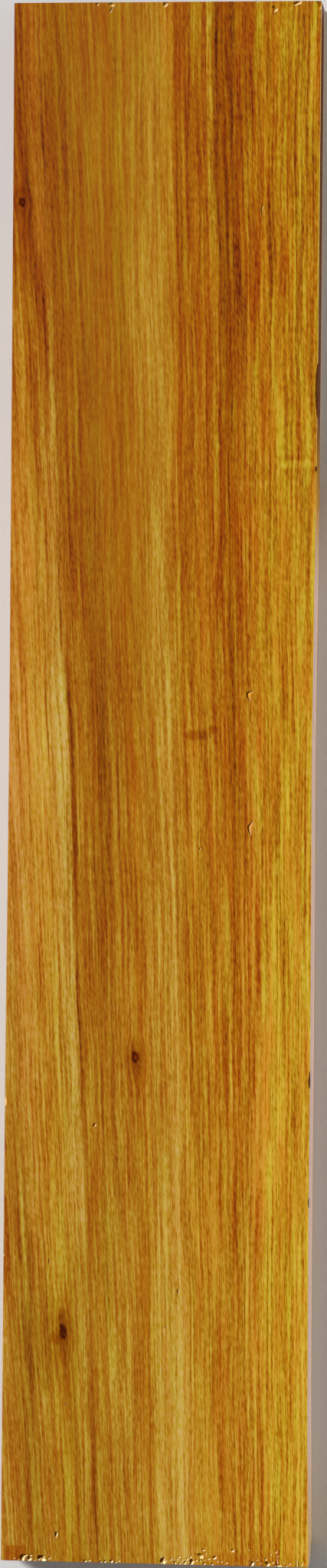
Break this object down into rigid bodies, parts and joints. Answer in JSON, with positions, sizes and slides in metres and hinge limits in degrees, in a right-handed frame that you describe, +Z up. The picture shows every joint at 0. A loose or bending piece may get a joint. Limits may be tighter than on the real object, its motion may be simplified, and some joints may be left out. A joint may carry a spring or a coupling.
{
  "type": "timber plank",
  "caption": "Wide planed hardwood plank with square-sawn ends, a flat show face along the grain and small chips on its arrises.",
  "frame": {"origin": "middle of the underside, where the plank rests", "axes": "+X across the width, +Y along the grain and the length, +Z up through the thickness, out of the show face"},
  "size_m": [0.241, 1.22, 0.045],
  "materials": {
    "hardwood": "planed, with a thin clear satin coat"
  },
  "bodies": {
    "root": {"plank": "hardwood"}
  },
  "joints": []
}
